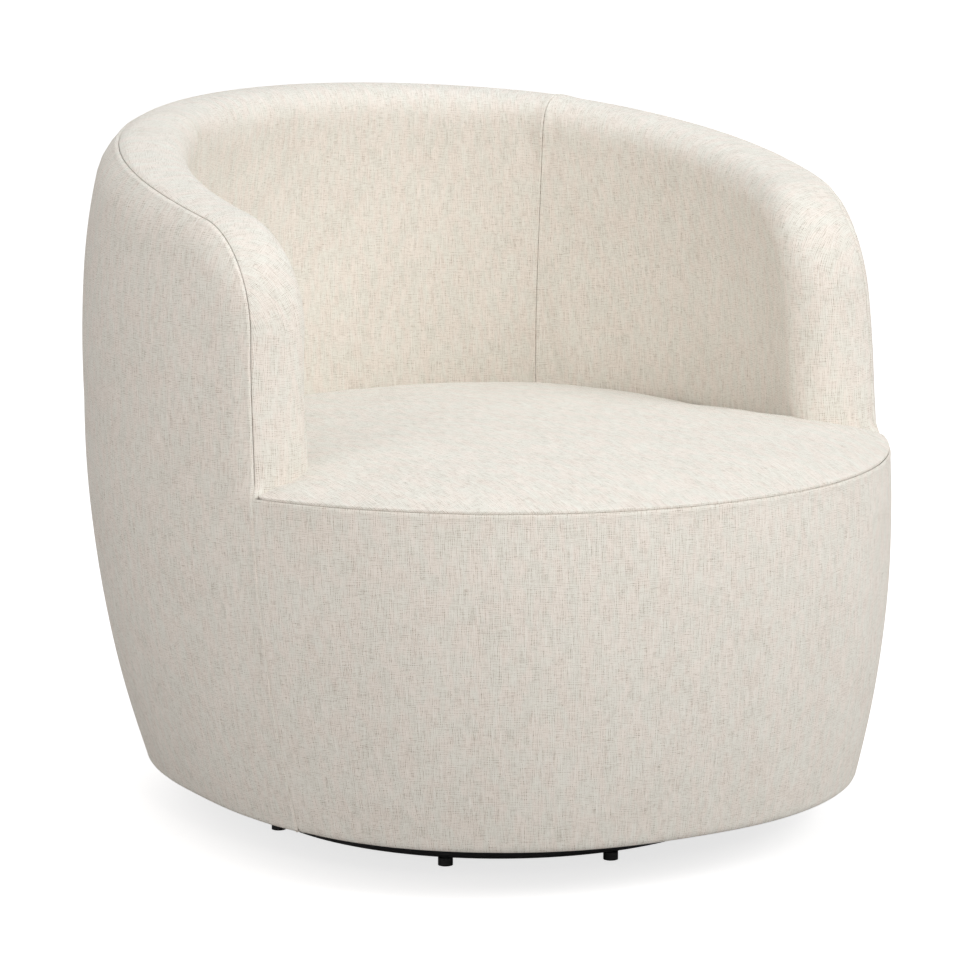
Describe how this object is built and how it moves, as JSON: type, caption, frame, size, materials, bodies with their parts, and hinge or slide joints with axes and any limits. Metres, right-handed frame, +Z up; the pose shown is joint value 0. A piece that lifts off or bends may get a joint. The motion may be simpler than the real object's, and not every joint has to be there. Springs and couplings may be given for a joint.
{
  "type": "swivel barrel chair",
  "caption": "Upholstered barrel armchair with a rolled rim and a tight crowned seat, turning on a low recessed ring base.",
  "frame": {"origin": "middle of the overall box, on the floor under the glides", "axes": "+X to the chair's left hand as one faces it from the front (its width), +Y to the rear (its depth, the longest side), +Z up; the front is towards -Y"},
  "size_m": [0.8198, 0.8856, 0.7349],
  "materials": {
    "base_paint": "satin powder coat",
    "glide_plastic": "matte",
    "zinc_steel": "zinc plated",
    "spring_steel": "oiled wire",
    "ball_steel": "polished",
    "cage_brass": "stamped",
    "bush_plastic": "matte",
    "plywood": "sawn",
    "webbing": "woven elastic",
    "felt": "felt",
    "foam": "open-cell foam",
    "upholstery": "slubby linen-look weave",
    "dust_cloth": "thin non-woven cloth"
  },
  "bodies": {
    "base": {"base_ring": "base_paint", "cross_arms": "base_paint", "base_glides": "glide_plastic", "hub_plate": "base_paint", "lower_race": "zinc_steel", "pivot_bolt": "zinc_steel", "pivot_washer": "zinc_steel", "pivot_nut": "zinc_steel"},
    "cage": {"ball_cage": "cage_brass", "bearing_balls": "ball_steel"},
    "seat": {"upper_race": "zinc_steel", "swivel_plate": "zinc_steel", "pivot_bush": "bush_plastic", "plate_bolts": "zinc_steel", "tee_nuts": "zinc_steel", "bottom_board": "plywood", "lower_struts": "plywood", "seat_frame": "plywood", "rib_back_center": "plywood", "rib_back_left": "plywood", "rib_back_right": "plywood", "rib_side_left": "plywood", "rib_side_right": "plywood", "arm_post_left": "plywood", "arm_post_right": "plywood", "top_rail": "plywood", "front_rail": "plywood", "back_webbing": "webbing", "seat_springs": "spring_steel", "spring_clips": "zinc_steel", "spring_pad": "felt", "seat_foam": "foam", "seat_cover": "upholstery", "back_foam": "foam", "back_cover": "upholstery", "arm_foam_left": "foam", "arm_foam_right": "foam", "arm_cover_left": "upholstery", "arm_cover_right": "upholstery", "arm_front_left": "upholstery", "arm_front_right": "upholstery", "outer_cover": "upholstery", "front_apron": "upholstery", "dust_cover": "dust_cloth", "cover_staples": "zinc_steel"}
  },
  "joints": [
    {"name": "seat_swivel", "type": "hinge", "parent": "base", "child": "seat", "pos_m": [0, -0.02946, 0.0423], "axis": [0, 0, 1], "continuous": true},
    {"name": "cage_roll", "type": "hinge", "parent": "base", "child": "cage", "pos_m": [0, -0.02946, 0.0423], "axis": [0, 0, 1], "continuous": true}
  ],
  "couplings": [
    {"joint": "cage_roll", "follows": "seat_swivel", "ratio": 0.5}
  ]
}
